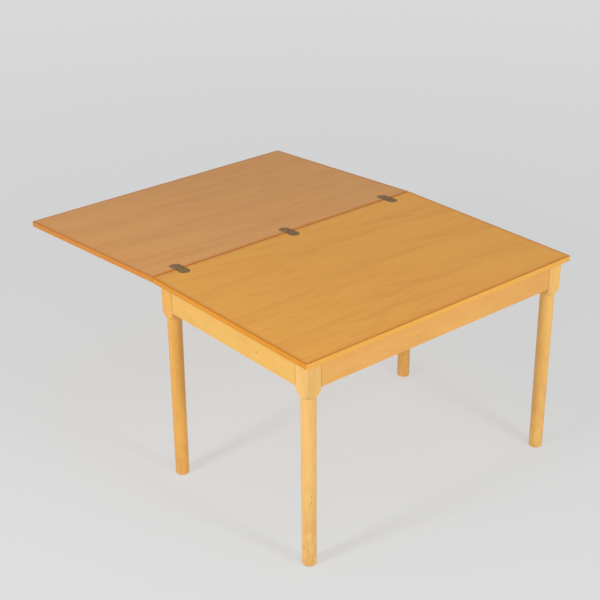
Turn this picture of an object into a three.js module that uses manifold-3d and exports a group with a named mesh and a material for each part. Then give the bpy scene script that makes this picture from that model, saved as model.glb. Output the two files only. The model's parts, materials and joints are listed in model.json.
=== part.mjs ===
// Fold-over dining table. A fixed half top lies on a beech frame with four turned legs, and an
// equal leaf is hung from it on three double-pin hinges let into the top face. The leaf is
// modelled open, hanging a few degrees below level, with its lower edge against the fixed half.
// X runs across the joint, Y along it and Z up, with the joint over the origin and the floor at 0.

import * as THREE from "three";
import { mergeVertices } from "three/addons/utils/BufferGeometryUtils.js";
import Module from "manifold-3d";

const wasm = await Module();
wasm.setup();

// ---- Driving dimensions, in millimetres and degrees ----

const FIT = 0.3; // gap between pieces that are let into each other

const TABLE_HEIGHT = 720;
const HALF_LENGTH = 750; // each half of the top, across the joint
const TOP_WIDTH = 1120; // along the joint
const TOP_THICKNESS = 19;
const LIPPING = 4; // solid strip round the veneered board
const ARRIS = 2; // rounding along the strip's outer edges
const JOINT_GAP = 1.6; // between the halves when they are level
const DROOP = 3.6; // how far the open leaf hangs below level

const LEG_INSET = 46; // from the top's edge to the leg's axis
const LEG_BLOCK = 53; // square head of the leg
const LEG_RADIUS_TOP = 23.8;
const LEG_RADIUS_FOOT = 22.8;
const FOOT_ROUND = 4;
const SHOULDER_TOP = 611; // where the square head starts to be turned away
const SHOULDER_BOTTOM = 585; // where it meets the round leg

const APRON_HEIGHT = 87;
const APRON_THICKNESS = 20;
const APRON_RECESS = 0.5; // behind the leg's outer face
const TENON_LENGTH = 18;
const TENON_THICKNESS = 10;
const TENON_HEIGHT = 60;

const CORNER_BLOCK_THICKNESS = 22;
const CORNER_BLOCK_HEIGHT = 60;
const CORNER_BOLT_DROP = 36; // below the underside of the top
const CORNER_BOLT = { radius: 4, length: 55, across: 13, head: 5.5, flange: 8.5 };

const RAIL_WIDTH = 70;
const RAIL_THICKNESS = 22;
const PIVOT_BOLT = { radius: 5, length: 33, across: 17, head: 6.4, flange: 9 };
const PIVOT_WASHER = { radius: 14, thickness: 2 };
const PIVOT_INSERT = { radius: 8, length: 12 };

const HINGE_SPACING = 453; // from the middle hinge to each outer one
const HINGE_LENGTH = 89; // over both round ends
const HINGE_WIDTH = 38;
const HINGE_EDGE_GAP = 1; // from the joint's middle to a plate's edge
const PLATE_THICKNESS = 3;
const KNUCKLE_LENGTH = 6.5;
const KNUCKLE_HEIGHT = 6;
const PIN_OFFSET = 3.3; // from the joint's middle to a pin's axis
const PIN_DEPTH = 3; // below the top face
const PIN_RADIUS = 1.2;
const PIN_LENGTH = 37;
const LINK_WIDTH = 18;
const LINK_RADIUS = 2.5;
const LINK_SLOT_END = 9.2; // from the joint's middle
const LINK_POCKET_DEPTH = 8.8; // in the wood under a link
const SCREW = { head: 4, lip: 0.5, shank: 2, length: 15, slotWidth: 1.1, slotDepth: 0.9 };
const SCREW_PLACES = [17, 34]; // from the joint's middle

// ---- Values worked out from them ----

const UNDERSIDE = TABLE_HEIGHT - TOP_THICKNESS;
const JOINT_EDGE = JOINT_GAP / 2;
const OUTER_EDGE = JOINT_EDGE + HALF_LENGTH;
const FRAME_MIDDLE = JOINT_EDGE + HALF_LENGTH / 2;
const LEG_X = HALF_LENGTH / 2 - LEG_INSET;
const LEG_Y = TOP_WIDTH / 2 - LEG_INSET;
const APRON_OFFSET = (LEG_BLOCK - APRON_THICKNESS) / 2 - APRON_RECESS; // from the leg's axis
const APRON_INNER_FACE = APRON_OFFSET - APRON_THICKNESS / 2;
const HINGE_END = HINGE_LENGTH / 2;
const HINGE_YS = [-HINGE_SPACING, 0, HINGE_SPACING];
const BORE_RADIUS = PIN_RADIUS + FIT;
// The leaf turns about the joint's middle line, this far above the top face, so that it lies
// clear of the fixed half when it is folded over. A pin is this far from that line.
const FOLD_AXIS_RISE = PIN_OFFSET - PIN_DEPTH;
const PIN_CIRCLE = PIN_OFFSET * Math.SQRT2;
const QUARTER_TURN = Math.PI / 2;
// Turning the top a quarter round this point brings the open joint over the frame's middle.
const PIVOT = { x: FRAME_MIDDLE - HALF_LENGTH / 4, y: HALF_LENGTH / 4 };

// ---- Materials ----

function finish(color, roughness, metalness = 0) {
  return new THREE.MeshStandardMaterial({ color, roughness, metalness });
}

const MATERIALS = {
  veneer: finish(0xd69c50, 0.42),
  lipping: finish(0xd98f40, 0.45),
  beech: finish(0xe6b36a, 0.5),
  deal: finish(0xdcbd8c, 0.75),
  brass: finish(0x86704f, 0.45, 0.9),
  steel: finish(0x9a9a98, 0.4, 0.9),
};

// ---- Shape helpers ----

function solid(geometry) {
  const bare = geometry.clone();
  bare.deleteAttribute("normal");
  bare.deleteAttribute("uv");
  const merged = mergeVertices(bare, 1e-3);
  return new wasm.Manifold(
    new wasm.Mesh({
      numProp: 3,
      vertProperties: new Float32Array(merged.attributes.position.array),
      triVerts: new Uint32Array(merged.index.array),
    }),
  );
}

function surface(manifold) {
  const mesh = manifold.getMesh();
  const geometry = new THREE.BufferGeometry();
  geometry.setAttribute("position", new THREE.BufferAttribute(mesh.vertProperties, 3));
  geometry.setIndex(new THREE.BufferAttribute(mesh.triVerts, 1));
  const faceted = geometry.toNonIndexed();
  faceted.computeVertexNormals();
  return faceted;
}

function cut(geometry, tools) {
  return surface(tools.reduce((left, tool) => left.subtract(solid(tool)), solid(geometry)));
}

function join(first, second) {
  return surface(solid(first).add(solid(second)));
}

function overlap(first, second) {
  return surface(solid(first).intersect(solid(second)));
}

function box([x0, x1], [y0, y1], [z0, z1]) {
  const geometry = new THREE.BoxGeometry(x1 - x0, y1 - y0, z1 - z0);
  return geometry.translate((x0 + x1) / 2, (y0 + y1) / 2, (z0 + z1) / 2);
}

// A cylinder standing on z0, with its axis up.
function rod(radius, z0, z1, sides = 12) {
  const geometry = new THREE.CylinderGeometry(radius, radius, z1 - z0, sides);
  return geometry.rotateX(QUARTER_TURN).translate(0, 0, (z0 + z1) / 2);
}

// A cylinder along Y, centred on the origin.
function pinAlongY(radius, length) {
  return new THREE.CylinderGeometry(radius, radius, length, 12);
}

// An outline drawn in X and Z, swept along Y and centred on it.
function sweepAlongY(shape, length, curveSegments = 5) {
  const geometry = new THREE.ExtrudeGeometry(shape, {
    depth: length,
    bevelEnabled: false,
    curveSegments,
  });
  return geometry.rotateX(QUARTER_TURN).translate(0, length / 2, 0);
}

// A profile of radius and height, turned round Z.
function turned(profile, sides) {
  return new THREE.LatheGeometry(profile, sides).rotateX(QUARTER_TURN);
}

function piece(parent, name, geometry, material) {
  const mesh = new THREE.Mesh(geometry, material);
  mesh.name = name;
  parent.add(mesh);
  return mesh;
}

// ---- Bolts and screws, with the axis on Z and the tip upwards ----

function hexBolt({ radius, length, across, head, flange }) {
  const flangeHeight = 1.5;
  const shank = turned(
    [
      new THREE.Vector2(0, -flangeHeight),
      new THREE.Vector2(flange, -flangeHeight),
      new THREE.Vector2(flange, 0),
      new THREE.Vector2(radius, 0),
      new THREE.Vector2(radius, length - 1),
      new THREE.Vector2(radius - 1, length),
      new THREE.Vector2(0, length),
    ],
    16,
  );
  const hexagon = rod(across / Math.sqrt(3), -flangeHeight - head, -flangeHeight / 2, 6);
  return join(shank, hexagon);
}

// A countersunk screw hanging down from its head's face at height 0.
function countersunkScrew() {
  const { head, lip, shank, length, slotWidth, slotDepth } = SCREW;
  const body = turned(
    [
      new THREE.Vector2(0, -length),
      new THREE.Vector2(shank, -length + 2 * shank),
      new THREE.Vector2(shank, -lip - head + shank),
      new THREE.Vector2(head, -lip),
      new THREE.Vector2(head, 0),
      new THREE.Vector2(0, 0),
    ],
    12,
  );
  const slot = box([-head - 1, head + 1], [-slotWidth / 2, slotWidth / 2], [-slotDepth, 1]);
  return cut(body, [slot]);
}

// The hole that the same screw needs, a little larger all round.
function countersink(depth) {
  const { head, lip, shank } = SCREW;
  return turned(
    [
      new THREE.Vector2(0, -depth),
      new THREE.Vector2(shank + FIT, -depth),
      new THREE.Vector2(shank + FIT, -lip - head + shank - FIT),
      new THREE.Vector2(head + FIT, -lip),
      new THREE.Vector2(head + FIT, 1),
      new THREE.Vector2(0, 1),
    ],
    12,
  );
}

// ---- Hinges: two plates with lugs, joined by a link on two pins ----

// The plan of one half of a hinge, from the joint to its round end, wider by a margin.
function hingePlan(start, margin) {
  const halfWidth = HINGE_WIDTH / 2 + margin;
  const centre = HINGE_END - HINGE_WIDTH / 2;
  const plan = new THREE.Shape();
  plan.moveTo(start, -halfWidth);
  plan.lineTo(centre, -halfWidth);
  plan.absarc(centre, 0, halfWidth, -QUARTER_TURN, QUARTER_TURN, false);
  plan.lineTo(start, halfWidth);
  return plan;
}

function standingPlan(plan, z0, z1) {
  const geometry = new THREE.ExtrudeGeometry(plan, {
    depth: z1 - z0,
    bevelEnabled: false,
    curveSegments: 16,
  });
  return geometry.translate(0, 0, z0);
}

function hingePlate() {
  const edge = HINGE_EDGE_GAP;
  const profile = new THREE.Shape();
  profile.moveTo(edge, -KNUCKLE_HEIGHT);
  profile.lineTo(edge + KNUCKLE_LENGTH, -KNUCKLE_HEIGHT);
  profile.lineTo(edge + KNUCKLE_LENGTH, -PLATE_THICKNESS);
  profile.lineTo(HINGE_LENGTH, -PLATE_THICKNESS);
  profile.lineTo(HINGE_LENGTH, 0);
  profile.lineTo(edge + ARRIS, 0);
  profile.absarc(edge + ARRIS, -ARRIS, ARRIS, QUARTER_TURN, Math.PI, false);
  const bar = sweepAlongY(profile, HINGE_WIDTH + 2);
  const blank = overlap(bar, standingPlan(hingePlan(0, 0), -KNUCKLE_HEIGHT - 1, 1));
  const slotHalf = LINK_WIDTH / 2 + FIT;
  const slot = box([0, LINK_SLOT_END], [-slotHalf, slotHalf], [-KNUCKLE_HEIGHT - 1, 1]);
  const bore = pinAlongY(BORE_RADIUS, HINGE_WIDTH + 2).translate(PIN_OFFSET, 0, -PIN_DEPTH);
  const sinks = SCREW_PLACES.map((x) => countersink(PLATE_THICKNESS + 1).translate(x, 0, 0));
  return cut(blank, [slot, bore, ...sinks]);
}

// The recess a hinge plate and its screws need in the wood.
function hingeRecesses(y) {
  const margin = FIT;
  const halfWidth = HINGE_WIDTH / 2 + margin;
  const knuckleEnd = HINGE_EDGE_GAP + KNUCKLE_LENGTH + margin;
  const plate = standingPlan(hingePlan(-1, margin), -PLATE_THICKNESS - margin, 1);
  const knuckle = box([-1, knuckleEnd], [-halfWidth, halfWidth], [-KNUCKLE_HEIGHT - margin, 1]);
  const linkHalf = LINK_WIDTH / 2 + margin;
  const pocket = box([-1, LINK_SLOT_END], [-linkHalf, linkHalf], [-LINK_POCKET_DEPTH, 1]);
  const holes = SCREW_PLACES.map((x) =>
    rod(SCREW.shank + FIT, -SCREW.length - FIT, -1).translate(x, 0, 0),
  );
  return [plate, knuckle, pocket, ...holes].map((tool) => tool.translate(0, y, 0));
}

// A flat bar with round ends, from the fixed half's pin at the origin towards the leaf. Between
// level and half folded the two pins draw apart to opposite ends of their circle, so the leaf's
// pin runs in a slot.
function hingeLink() {
  const hanging = THREE.MathUtils.degToRad(DROOP / 2);
  const nearest = -2 * PIN_CIRCLE * Math.sin(QUARTER_TURN / 2 - hanging);
  const furthest = -2 * PIN_CIRCLE;
  const bar = roundEndedBar(furthest, 0, LINK_RADIUS, LINK_WIDTH);
  const bore = pinAlongY(BORE_RADIUS, LINK_WIDTH + 2);
  return cut(bar, [bore, roundEndedBar(furthest, nearest, BORE_RADIUS, LINK_WIDTH + 2)]);
}

// A bar with round ends, centred on two places along X and lying along Y.
function roundEndedBar(start, end, radius, length) {
  const profile = new THREE.Shape();
  profile.moveTo(start, -radius);
  profile.lineTo(end, -radius);
  profile.absarc(end, 0, radius, -QUARTER_TURN, QUARTER_TURN, false);
  profile.lineTo(start, radius);
  profile.absarc(start, 0, radius, QUARTER_TURN, 3 * QUARTER_TURN, false);
  return sweepAlongY(profile, length, 10);
}

// ---- The two halves of the top ----

// A strip with its outer face on x = 0 and its top on z = 0, mitred at both ends.
function lippingStrip(length) {
  const profile = new THREE.Shape();
  profile.moveTo(-LIPPING, -TOP_THICKNESS);
  profile.lineTo(-ARRIS, -TOP_THICKNESS);
  profile.absarc(-ARRIS, -TOP_THICKNESS + ARRIS, ARRIS, -QUARTER_TURN, 0, false);
  profile.lineTo(0, -ARRIS);
  profile.absarc(-ARRIS, -ARRIS, ARRIS, 0, QUARTER_TURN, false);
  profile.lineTo(-LIPPING, 0);
  const strip = sweepAlongY(profile, length);
  const place = strip.attributes.position;
  const mitreGap = FIT * Math.SQRT1_2;
  for (let i = 0; i < place.count; i += 1) {
    const reach = length / 2 + place.getX(i) - mitreGap;
    place.setY(i, Math.sign(place.getY(i)) * reach);
  }
  return strip;
}

// One half of the top with its share of the hinges. It lies on the +X side of the joint, with
// the joint's middle on x = 0 and the top face on z = 0. The turn is 1 for the fixed half and -1
// for the leaf, which is the same half turned round, and keeps the names in order along Y.
function halfTop(prefix, turn, extraHoles) {
  const half = new THREE.Group();
  const { veneer, lipping, brass, steel } = MATERIALS;

  const board = LIPPING + FIT;
  const panel = box(
    [JOINT_EDGE + board, OUTER_EDGE - board],
    [board - TOP_WIDTH / 2, TOP_WIDTH / 2 - board],
    [-TOP_THICKNESS, 0],
  );
  const recesses = HINGE_YS.flatMap(hingeRecesses);
  piece(half, `${prefix}_panel`, cut(panel, [...recesses, ...extraHoles]), veneer);

  const jointStrip = lippingStrip(TOP_WIDTH).rotateZ(Math.PI).translate(JOINT_EDGE, 0, 0);
  piece(half, `${prefix}_edge_joint`, cut(jointStrip, recesses), lipping);
  const outer = piece(half, `${prefix}_edge_outer`, lippingStrip(TOP_WIDTH), lipping);
  outer.position.x = OUTER_EDGE;
  for (const [side, sign] of [["front", -1], ["back", 1]]) {
    const strip = piece(half, `${prefix}_edge_${side}`, lippingStrip(HALF_LENGTH), lipping);
    strip.rotation.z = sign * turn * QUARTER_TURN;
    strip.position.set(FRAME_MIDDLE, (sign * turn * TOP_WIDTH) / 2, 0);
  }

  HINGE_YS.forEach((y, i) => {
    const hinge = new THREE.Group();
    hinge.position.y = y * turn;
    piece(hinge, `hinge_plate_${prefix}_${i + 1}`, hingePlate(), brass);
    const pin = piece(hinge, `hinge_pin_${prefix}_${i + 1}`, pinAlongY(PIN_RADIUS, PIN_LENGTH), steel);
    pin.position.set(PIN_OFFSET, 0, -PIN_DEPTH);
    SCREW_PLACES.forEach((x, j) => {
      const name = `hinge_screw_${prefix}_${i + 1}_${j + 1}`;
      const screw = piece(hinge, name, countersunkScrew(), brass);
      screw.position.x = x;
      screw.rotation.z = i + 2 * j + turn;
    });
    half.add(hinge);
  });
  return half;
}

// ---- Frame ----

// The leg, with its outer corner towards +X +Y. The square head is turned down to a round leg.
function leg() {
  const profile = [new THREE.Vector2(0, 0)];
  for (let i = 0; i <= 3; i += 1) {
    const angle = (i / 3) * QUARTER_TURN;
    profile.push(
      new THREE.Vector2(
        LEG_RADIUS_FOOT - FOOT_ROUND * (1 - Math.sin(angle)),
        FOOT_ROUND * (1 - Math.cos(angle)),
      ),
    );
  }
  profile.push(new THREE.Vector2(LEG_RADIUS_TOP, SHOULDER_BOTTOM));
  const cornerRadius = LEG_BLOCK * Math.SQRT1_2 + 0.5;
  const shoulder = new THREE.QuadraticBezierCurve(
    new THREE.Vector2(LEG_RADIUS_TOP + 1, SHOULDER_BOTTOM),
    new THREE.Vector2(cornerRadius - 1.5, (SHOULDER_TOP + SHOULDER_BOTTOM) / 2),
    new THREE.Vector2(cornerRadius, SHOULDER_TOP),
  );
  profile.push(...shoulder.getPoints(8));
  profile.push(new THREE.Vector2(cornerRadius, UNDERSIDE), new THREE.Vector2(0, UNDERSIDE));
  const half = LEG_BLOCK / 2;
  const blank = overlap(turned(profile, 40), box([-half, half], [-half, half], [-1, UNDERSIDE]));

  const mortiseEnd = -half + TENON_LENGTH + FIT;
  const side = TENON_THICKNESS / 2 + FIT;
  const across = [APRON_OFFSET - side, APRON_OFFSET + side];
  const along = [-half - 1, mortiseEnd];
  const height = tenonSpan(FIT);
  return cut(blank, [box(along, across, height), box(across, along, height), cornerBoltHole()]);
}

function tenonSpan(margin) {
  const middle = UNDERSIDE - APRON_HEIGHT / 2;
  return [middle - TENON_HEIGHT / 2 - margin, middle + TENON_HEIGHT / 2 + margin];
}

// The corner block lies across the inner corner of the frame, a millimetre clear of the leg.
const CORNER_BLOCK_NEAR = LEG_BLOCK * Math.SQRT1_2 + 1;
const CORNER_BLOCK_FAR = CORNER_BLOCK_NEAR + CORNER_BLOCK_THICKNESS;
const CORNER_BOLT_START = CORNER_BLOCK_FAR + FIT;
const CORNER_BOLT_HEIGHT = UNDERSIDE - CORNER_BOLT_DROP;

function alongDiagonal(geometry, start) {
  const inward = -start * Math.SQRT1_2;
  return geometry
    .rotateY(QUARTER_TURN)
    .rotateZ(QUARTER_TURN / 2)
    .translate(inward, inward, CORNER_BOLT_HEIGHT);
}

function cornerBoltHole() {
  return alongDiagonal(rod(CORNER_BOLT.radius + FIT, -5, CORNER_BOLT.length + 1), CORNER_BOLT_START);
}

function cornerBlock() {
  const face = APRON_INNER_FACE - FIT;
  const near = -CORNER_BLOCK_NEAR * Math.SQRT2 - face;
  const far = -CORNER_BLOCK_FAR * Math.SQRT2 - face;
  const plan = new THREE.Shape([
    new THREE.Vector2(near, face),
    new THREE.Vector2(far, face),
    new THREE.Vector2(face, far),
    new THREE.Vector2(face, near),
  ]);
  const bottom = CORNER_BOLT_HEIGHT - CORNER_BLOCK_HEIGHT / 2;
  const wedge = standingPlan(plan, bottom, bottom + CORNER_BLOCK_HEIGHT);
  return cut(wedge, [cornerBoltHole()]);
}

function frameCorner(name, turns, x, y) {
  const corner = new THREE.Group();
  piece(corner, `leg_${name}`, leg(), MATERIALS.beech);
  piece(corner, `corner_block_${name}`, cornerBlock(), MATERIALS.deal);
  const bolt = alongDiagonal(hexBolt(CORNER_BOLT), CORNER_BOLT_START);
  piece(corner, `corner_bolt_${name}`, bolt, MATERIALS.steel);
  corner.rotation.z = turns * QUARTER_TURN;
  corner.position.set(FRAME_MIDDLE + x * LEG_X, y * LEG_Y, 0);
  return corner;
}

// An apron along X, centred on the origin, with a stub tenon at each end.
function apron(legSpacing) {
  const half = legSpacing / 2 - LEG_BLOCK / 2 - FIT;
  const side = APRON_THICKNESS / 2;
  const board = box([-half, half], [-side, side], [UNDERSIDE - APRON_HEIGHT, UNDERSIDE]);
  const tenon = half + TENON_LENGTH;
  const tongue = TENON_THICKNESS / 2;
  return join(board, box([-tenon, tenon], [-tongue, tongue], tenonSpan(0)));
}

function aprons() {
  const group = new THREE.Group();
  for (const [name, sign] of [["front", -1], ["back", 1]]) {
    const board = piece(group, `apron_${name}`, apron(2 * LEG_X), MATERIALS.beech);
    board.position.set(FRAME_MIDDLE, sign * (LEG_Y + APRON_OFFSET), 0);
  }
  for (const [name, sign] of [["joint", -1], ["outer", 1]]) {
    const board = piece(group, `apron_${name}`, apron(2 * LEG_Y), MATERIALS.beech);
    board.rotation.z = QUARTER_TURN;
    board.position.set(FRAME_MIDDLE + sign * (LEG_X + APRON_OFFSET), 0, 0);
  }
  return group;
}

// ---- Pivot that holds the top to the frame ----

function pivot() {
  const group = new THREE.Group();
  group.position.set(PIVOT.x, PIVOT.y, 0);
  const { deal, steel } = MATERIALS;

  const railBottom = UNDERSIDE - RAIL_THICKNESS;
  const inner = LEG_X + APRON_INNER_FACE - FIT;
  const middle = FRAME_MIDDLE - PIVOT.x;
  const rail = box(
    [middle - inner, middle + inner],
    [-RAIL_WIDTH / 2, RAIL_WIDTH / 2],
    [railBottom, UNDERSIDE],
  );
  const hole = rod(PIVOT_BOLT.radius + FIT, railBottom - 1, UNDERSIDE + 1, 16);
  piece(group, "pivot_rail", cut(rail, [hole]), deal);

  const washerBottom = railBottom - PIVOT_WASHER.thickness;
  const washerHole = rod(PIVOT_BOLT.radius + FIT, washerBottom - 1, railBottom + 1, 16);
  const washer = cut(rod(PIVOT_WASHER.radius, washerBottom, railBottom, 24), [washerHole]);
  piece(group, "pivot_washer", washer, steel);

  const bolt = piece(group, "pivot_bolt", hexBolt(PIVOT_BOLT), steel);
  bolt.position.z = washerBottom;

  const insertTop = UNDERSIDE + PIVOT_INSERT.length;
  const thread = rod(PIVOT_BOLT.radius + FIT, UNDERSIDE - 1, insertTop + 1, 16);
  const insert = cut(rod(PIVOT_INSERT.radius, UNDERSIDE + FIT, insertTop, 16), [thread]);
  piece(group, "pivot_insert", insert, steel);
  return group;
}

// The hole for the insert, in the frame of the fixed half.
function insertHole() {
  const depth = PIVOT_INSERT.length + FIT - TOP_THICKNESS;
  const hole = rod(PIVOT_INSERT.radius + FIT, -TOP_THICKNESS - 1, depth, 16);
  return hole.translate(PIVOT.x, PIVOT.y, 0);
}

// ---- Assembly ----

const table = new THREE.Group();

const fixedHalf = halfTop("top", 1, [insertHole()]);
fixedHalf.position.z = TABLE_HEIGHT;
table.add(fixedHalf);

table.add(
  frameCorner("outer_back", 0, 1, 1),
  frameCorner("joint_back", 1, -1, 1),
  frameCorner("joint_front", 2, -1, -1),
  frameCorner("outer_front", 3, 1, -1),
  aprons(),
  pivot(),
);

// The leaf hangs below level, and each link leans half as far.
const droop = THREE.MathUtils.degToRad(DROOP);
const links = new THREE.Group();
links.position.set(PIN_OFFSET, 0, TABLE_HEIGHT - PIN_DEPTH);
links.rotation.y = -droop / 2;
HINGE_YS.forEach((y, i) => {
  piece(links, `hinge_link_${i + 1}`, hingeLink(), MATERIALS.brass).position.y = y;
});
table.add(links);

const leafSwing = new THREE.Group();
leafSwing.position.z = TABLE_HEIGHT + FOLD_AXIS_RISE;
leafSwing.rotation.y = -droop;
const leaf = halfTop("leaf", -1, []);
leaf.position.z = -FOLD_AXIS_RISE;
leaf.rotation.z = Math.PI;
leafSwing.add(leaf);
table.add(leafSwing);

export default table;
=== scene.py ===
import json
import math

import bmesh
import bpy
from mathutils import Matrix, Vector


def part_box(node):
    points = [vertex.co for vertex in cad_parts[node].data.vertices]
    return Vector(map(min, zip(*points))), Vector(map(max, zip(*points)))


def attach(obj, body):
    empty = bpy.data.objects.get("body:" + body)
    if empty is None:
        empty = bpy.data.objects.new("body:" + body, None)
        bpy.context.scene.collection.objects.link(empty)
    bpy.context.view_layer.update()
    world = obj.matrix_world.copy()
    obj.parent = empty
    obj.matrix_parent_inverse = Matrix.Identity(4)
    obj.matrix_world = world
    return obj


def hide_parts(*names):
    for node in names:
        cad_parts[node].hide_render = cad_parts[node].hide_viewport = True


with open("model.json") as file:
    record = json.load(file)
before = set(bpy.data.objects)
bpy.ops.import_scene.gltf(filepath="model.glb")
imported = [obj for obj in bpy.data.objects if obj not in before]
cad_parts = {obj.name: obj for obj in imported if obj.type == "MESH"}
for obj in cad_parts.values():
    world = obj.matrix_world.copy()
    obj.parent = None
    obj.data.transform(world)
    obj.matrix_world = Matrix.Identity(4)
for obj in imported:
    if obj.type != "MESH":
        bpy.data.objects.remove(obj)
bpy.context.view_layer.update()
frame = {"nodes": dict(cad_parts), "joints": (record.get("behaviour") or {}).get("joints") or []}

# ---- Room, light and camera ----
# A seamless pale floor in an even grey surround. One soft box stands off the table's front
# edge, one off its outer end, and a weak one between them fills the legs.

scene = bpy.context.scene
scene.view_settings.view_transform = "Standard"

FLOOR_SIDE = 160.0
FLOOR_DROP = 0.0005
FLOOR_GREY = (0.236, 0.243, 0.248, 1.0)
FLOOR_GLOW = 0.490
FAR_FLOOR_GLOW = 0.562
NEAR_FLOOR, FAR_FLOOR = 1.5, 6.5
LOW_SURROUND = (0.68, 0.68, 0.68, 1.0)
HIGH_SURROUND = (0.44, 0.44, 0.44, 1.0)
SURROUND_RISE = (0.15, 0.75)

CAMERA_PLACE = Vector((3.2789, -2.6898, 2.5380))
CAMERA_YAW = math.radians(50.167)
CAMERA_PITCH = math.radians(26.093)
CAMERA_ROLL = math.radians(-0.458)
CAMERA_LENS = 81.90
CAMERA_SENSOR = 36.0

LAMP_TARGET = Vector((0, 0, 0.6))
SOFT_BOXES = (
    {"name": "front_box", "place": (0.4, -4.2, 2.6), "side": 0.8, "watts": 92},
    {"name": "end_box", "place": (4.4, 0.2, 2.6), "side": 0.8, "watts": 66},
    {"name": "fill_box", "place": (3.2, -2.6, 2.0), "side": 1.6, "watts": 13},
)


def node(tree, kind, inputs=None, **settings):
    """A new node with its settings, and each input given as a value or a link."""
    made = tree.nodes.new(kind)
    for key, value in settings.items():
        setattr(made, key, value)
    for key, value in (inputs or {}).items():
        if isinstance(value, bpy.types.NodeSocket):
            tree.links.new(value, made.inputs[key])
        else:
            made.inputs[key].default_value = value
    return made


def empty_material(name):
    """A material with only an output, and its node tree."""
    made = bpy.data.materials.new(name)
    made.use_nodes = True
    made.node_tree.nodes.clear()
    return made, made.node_tree


floor_mesh = bpy.data.meshes.new("floor")
half_floor = FLOOR_SIDE / 2
floor_mesh.from_pydata(
    [
        (-half_floor, -half_floor, -FLOOR_DROP),
        (half_floor, -half_floor, -FLOOR_DROP),
        (half_floor, half_floor, -FLOOR_DROP),
        (-half_floor, half_floor, -FLOOR_DROP),
    ],
    [],
    [(0, 1, 2, 3)],
)
floor = bpy.data.objects.new("floor", floor_mesh)
scene.collection.objects.link(floor)
floor_paint, tree = empty_material("studio floor")
matt = node(tree, "ShaderNodeBsdfDiffuse", {"Color": FLOOR_GREY})
floor_place = node(tree, "ShaderNodeTexCoord")
from_table = node(
    tree, "ShaderNodeVectorMath", {0: floor_place.outputs["Object"]}, operation="LENGTH"
)
lift = node(
    tree,
    "ShaderNodeMapRange",
    {
        "Value": from_table.outputs["Value"],
        "From Min": NEAR_FLOOR,
        "From Max": FAR_FLOOR,
        "To Min": FLOOR_GLOW,
        "To Max": FAR_FLOOR_GLOW,
    },
    interpolation_type="SMOOTHSTEP",
)
glow = node(tree, "ShaderNodeEmission", {"Strength": lift.outputs["Result"]})
both = node(tree, "ShaderNodeAddShader", {0: matt.outputs[0], 1: glow.outputs[0]})
node(tree, "ShaderNodeOutputMaterial", {"Surface": both.outputs[0]})
floor_mesh.materials.append(floor_paint)

scene.world = bpy.data.worlds.new("studio")
scene.world.use_nodes = True
tree = scene.world.node_tree
direction = node(tree, "ShaderNodeTexCoord")
direction_axes = node(tree, "ShaderNodeSeparateXYZ", {0: direction.outputs["Generated"]})
rise = node(
    tree,
    "ShaderNodeMapRange",
    {
        "Value": direction_axes.outputs[2],
        "From Min": SURROUND_RISE[0],
        "From Max": SURROUND_RISE[1],
    },
    interpolation_type="SMOOTHSTEP",
)
shade = node(
    tree,
    "ShaderNodeMix",
    {0: rise.outputs[0], 6: LOW_SURROUND, 7: HIGH_SURROUND},
    data_type="RGBA",
)
tree.links.new(shade.outputs[2], tree.nodes["Background"].inputs["Color"])

for soft_box in SOFT_BOXES:
    lamp = bpy.data.lights.new(soft_box["name"], "AREA")
    lamp.shape = "SQUARE"
    lamp.size = soft_box["side"]
    lamp.energy = soft_box["watts"]
    lamp_object = bpy.data.objects.new(soft_box["name"], lamp)
    lamp_object.location = soft_box["place"]
    lamp_object.visible_camera = False
    towards_table = LAMP_TARGET - lamp_object.location
    lamp_object.rotation_euler = towards_table.to_track_quat("-Z", "Y").to_euler()
    scene.collection.objects.link(lamp_object)

forward = Vector((
    -math.sin(CAMERA_YAW) * math.cos(CAMERA_PITCH),
    math.cos(CAMERA_YAW) * math.cos(CAMERA_PITCH),
    -math.sin(CAMERA_PITCH),
))
level_right = Vector((math.cos(CAMERA_YAW), math.sin(CAMERA_YAW), 0))
level_up = level_right.cross(forward)
right = level_right * math.cos(CAMERA_ROLL) + level_up * math.sin(CAMERA_ROLL)
up = level_up * math.cos(CAMERA_ROLL) - level_right * math.sin(CAMERA_ROLL)
camera_data = bpy.data.cameras.new("camera")
camera_data.lens = CAMERA_LENS
camera_data.sensor_width = CAMERA_SENSOR
camera = bpy.data.objects.new("camera", camera_data)
camera.matrix_world = Matrix((right, up, -forward)).transposed().to_4x4()
camera.location = CAMERA_PLACE
scene.collection.objects.link(camera)
scene.camera = camera

# ---- Veneered boards ----
# Each half of the top is a flat board faced with slip-matched leaves of beech veneer, their
# grain along the joint, under satin lacquer. The leaf is lacquered underneath too, and the
# fixed half has a plain, duller backing there.

leaf_joint = next(joint for joint in frame["joints"] if joint["name"] == "leaf_fold")
FOLD_AXIS = Vector(leaf_joint["pos_m"])
DROOP = math.radians(leaf_joint["range_deg"][1] - 180)
BOARD_LOW, BOARD_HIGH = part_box("top_panel")
TOP_FACE = BOARD_HIGH.z
UNDERSIDE = BOARD_LOW.z
# From a leaf held level beside the fixed half to the leaf as it hangs.
HANG = (
    Matrix.Translation(FOLD_AXIS)
    @ Matrix.Rotation(-DROOP, 4, "Y")
    @ Matrix.Translation(-FOLD_AXIS)
)
# Each half is modelled on the outer side of the joint, then set in place by its matrix.
HALVES = {"top": Matrix.Identity(4), "leaf": HANG @ Matrix.Rotation(math.pi, 4, "Z")}

FACE_VENEER = 0.0010  # how deep the face's finish runs down the board's edge
VENEER_SLANT = 0.085
LACQUER_ROUGH = 0.44
SCUFF_PLACE = (0.014, -0.059, 0)
SCUFF_LENGTH = 0.014
SCUFF_WIDTH = 0.005


def math_node(tree, operation, *values, clamp=False):
    """The output of a Math node on values or sockets."""
    inputs = dict(enumerate(values))
    made = node(tree, "ShaderNodeMath", inputs, operation=operation, use_clamp=clamp)
    return made.outputs[0]


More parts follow.
